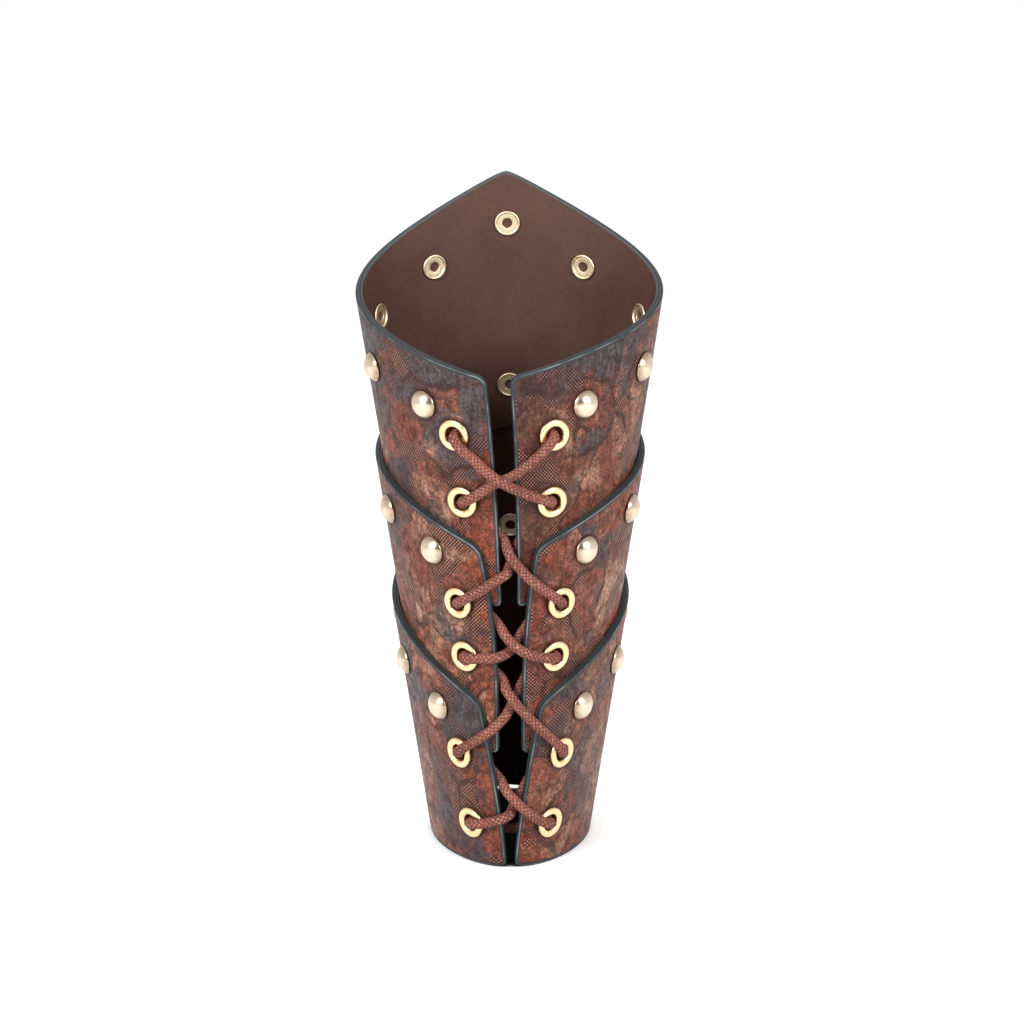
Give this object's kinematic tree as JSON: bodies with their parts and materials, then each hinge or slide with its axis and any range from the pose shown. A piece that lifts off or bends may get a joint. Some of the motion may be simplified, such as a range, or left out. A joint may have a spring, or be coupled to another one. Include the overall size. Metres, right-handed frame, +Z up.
{
  "type": "leather arm guard",
  "caption": "Tapering tube of overlapping curved leather plates, riveted together with domed studs and closed along the front by a crossed lace through rolled eyelets.",
  "frame": {"origin": "centre of the wrist opening, in the plane of the level wrist edge that the guard stands on", "axes": "+Z up from the wrist end to the elbow end, -Y towards the lacing, +X to the right as seen from the lacing"},
  "size_m": [0.1035, 0.1258, 0.2323],
  "materials": {
    "leather": "mottled red-brown, embossed, satin",
    "lining": "smooth brown, matte",
    "stud_metal": "pale antique, polished",
    "eyelet_metal": "polished",
    "lace": "waxed braid"
  },
  "bodies": {
    "root": {"upper_plate": "leather", "upper_lining": "lining", "middle_plate": "leather", "middle_lining": "lining", "lower_plate": "leather", "lower_lining": "lining", "upper_studs": "stud_metal", "middle_studs": "stud_metal", "lower_studs": "stud_metal", "upper_stud_backs": "eyelet_metal", "middle_stud_backs": "eyelet_metal", "lower_stud_backs": "eyelet_metal", "upper_eyelets_left": "eyelet_metal", "upper_eyelets_right": "eyelet_metal", "middle_eyelets_left": "eyelet_metal", "middle_eyelets_right": "eyelet_metal", "lower_eyelets_left": "eyelet_metal", "lower_eyelets_right": "eyelet_metal", "upper_washers_left": "eyelet_metal", "upper_washers_right": "eyelet_metal", "middle_washers_left": "eyelet_metal", "middle_washers_right": "eyelet_metal", "lower_washers_left": "eyelet_metal", "lower_washers_right": "eyelet_metal", "lace": "lace"}
  },
  "joints": []
}
